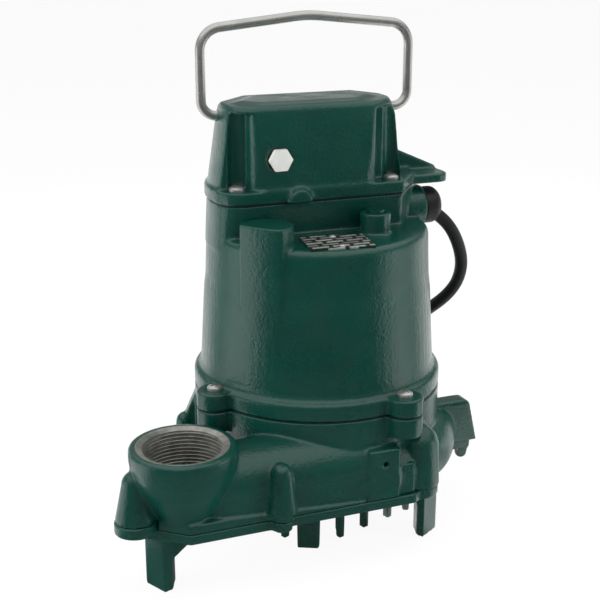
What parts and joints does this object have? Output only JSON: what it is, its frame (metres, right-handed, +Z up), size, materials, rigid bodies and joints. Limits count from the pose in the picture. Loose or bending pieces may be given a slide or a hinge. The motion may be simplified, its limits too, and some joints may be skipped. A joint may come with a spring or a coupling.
{
  "type": "submersible sump pump",
  "caption": "Submersible sump pump: cast casing on legs, oil-filled motor above, upright threaded outlet, wire bail and power cord.",
  "frame": {"origin": "on the floor, under the middle of the pump's bounding box, cord and plug left out", "axes": "+Z up along the motor shaft, -Y towards the side with the name plate and the discharge tube, -X towards the outlet"},
  "size_m": [0.2579, 0.2937, 0.3058],
  "materials": {
    "enamel": "glossy dark green enamel over cast iron, slightly rough",
    "cast_iron": "bare grey cast iron, machined",
    "stainless": "stainless steel, smooth drawn finish",
    "steel": "plain steel and laminations",
    "copper": "copper, coated winding wire",
    "aluminium": "cast aluminium",
    "bronze": "sintered bronze",
    "brass": "bright brass",
    "rubber": "black rubber, satin",
    "plastic": "black moulded plastic",
    "wire_white": "white wire insulation",
    "splice": "tan plastic splice caps",
    "nylon": "white nylon",
    "ceramic": "cream ceramic",
    "carbon": "carbon, lapped face",
    "plate_black": "dark etched metal plate, left bare"
  },
  "bodies": {
    "pump": {"volute_casing": "enamel", "base_plate": "enamel", "base_screws": "stainless", "seal_plate": "cast_iron", "casing_gasket": "rubber", "motor_housing": "enamel", "housing_screws": "stainless", "stator_core": "steel", "stator_coils": "copper", "shading_rings": "copper", "thermal_protector": "plastic", "motor_leads": "wire_white", "lead_grommet": "rubber", "splice_caps": "splice", "earth_screw": "brass", "upper_bearing": "bronze", "lower_bearing": "bronze", "seal_seat": "ceramic", "cover_gasket": "rubber", "top_cover": "enamel", "cover_screws": "stainless", "hex_plug": "nylon", "plug_seal": "rubber", "filler_plug": "enamel", "name_plate": "plate_black", "name_plate_rivets": "stainless", "cord_gland": "rubber", "cord_conductors": "wire_white", "power_cord": "rubber", "cord_coil": "rubber", "cord_tail": "rubber", "cord_tie": "plastic", "plug_body": "rubber", "plug_blades": "brass", "plug_earth_pin": "brass"},
    "rotor": {"shaft": "steel", "rotor_core": "steel", "rotor_cage": "aluminium", "thrust_washers": "stainless", "seal_ring": "carbon", "seal_bellows": "rubber", "impeller": "plastic", "impeller_nut": "stainless", "impeller_washer": "stainless"},
    "bail": {"bail_handle": "stainless"}
  },
  "joints": [
    {"name": "rotor_spin", "type": "hinge", "parent": "pump", "child": "rotor", "pos_m": [0.02115, 0.00105, 0.1], "axis": [0, 0, 1], "continuous": true},
    {"name": "bail_pivot", "type": "hinge", "parent": "pump", "child": "bail", "pos_m": [0.01845, 0.01105, 0.249], "axis": [1, 0, 0], "range_deg": [-90, 90]}
  ]
}
